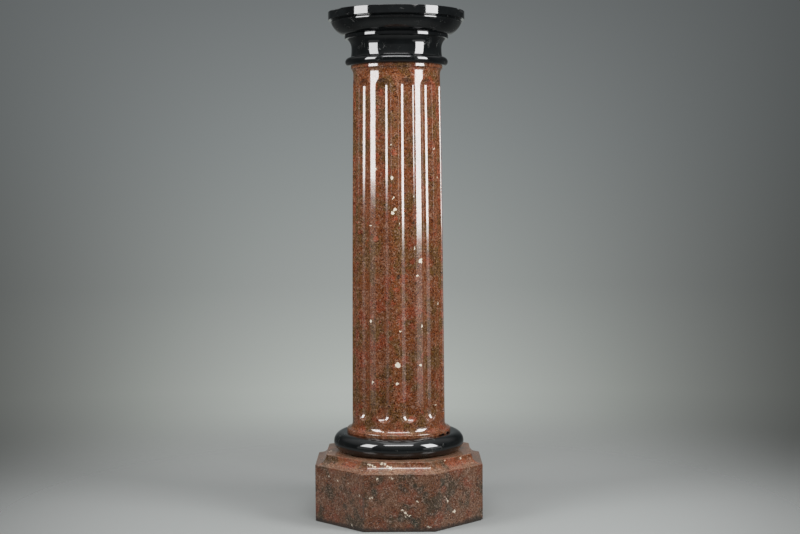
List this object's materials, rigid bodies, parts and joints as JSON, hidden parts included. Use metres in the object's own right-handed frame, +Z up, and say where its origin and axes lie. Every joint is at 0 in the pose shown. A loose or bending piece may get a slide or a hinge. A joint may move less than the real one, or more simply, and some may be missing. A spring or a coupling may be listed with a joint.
{
  "type": "scagliola column",
  "caption": "Pedestal column of polished scagliola: octagonal plinth, black torus base, fluted tapering shaft and black turned capital with a round flat top that carries a bust or vase.",
  "frame": {"origin": "centre of the plinth's underside, on the floor", "axes": "+Z up along the column, -Y towards the front face of the plinth"},
  "size_m": [0.362, 0.362, 1.1],
  "materials": {
    "plinth_scagliola": "polished mauve-brown mix with red and dark green patches and cream flakes, worn to satin",
    "shaft_scagliola": "high polish on a red-brown mix of fine dark grains with red blobs and cream chips",
    "black_stone": "high polish, lightly scratched"
  },
  "bodies": {
    "root": {"plinth": "plinth_scagliola", "base_torus": "black_stone", "shaft": "shaft_scagliola", "capital": "black_stone"}
  },
  "joints": []
}
